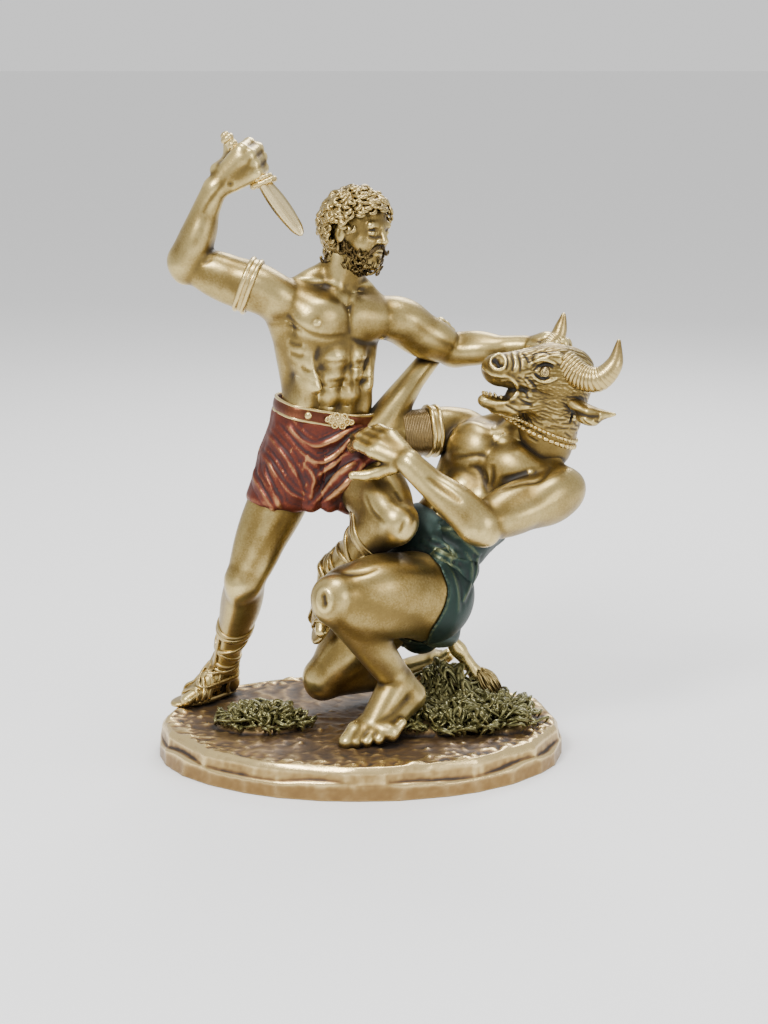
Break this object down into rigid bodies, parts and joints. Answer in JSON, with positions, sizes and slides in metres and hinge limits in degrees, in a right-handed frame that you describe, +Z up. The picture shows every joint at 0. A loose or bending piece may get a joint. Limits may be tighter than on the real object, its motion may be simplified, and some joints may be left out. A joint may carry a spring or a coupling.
{
  "type": "minotaur statue",
  "caption": "Cast statuette of a hero with a raised dagger seizing a kneeling bull-headed minotaur by the horn, on an oval rocky base.",
  "frame": {"origin": "centre of the oval base on its flat underside", "axes": "+Z up, +X to the side the bull's head leans to (the viewer's right), +Y away from the viewer, to the back of the group"},
  "size_m": [0.1727, 0.1218, 0.2351],
  "materials": {
    "cold_cast_bronze": "antique gold bronze with dark brown recesses, kilt washed copper red, loincloth washed green"
  },
  "bodies": {
    "root": {"minotaur_group": "cold_cast_bronze"}
  },
  "joints": []
}
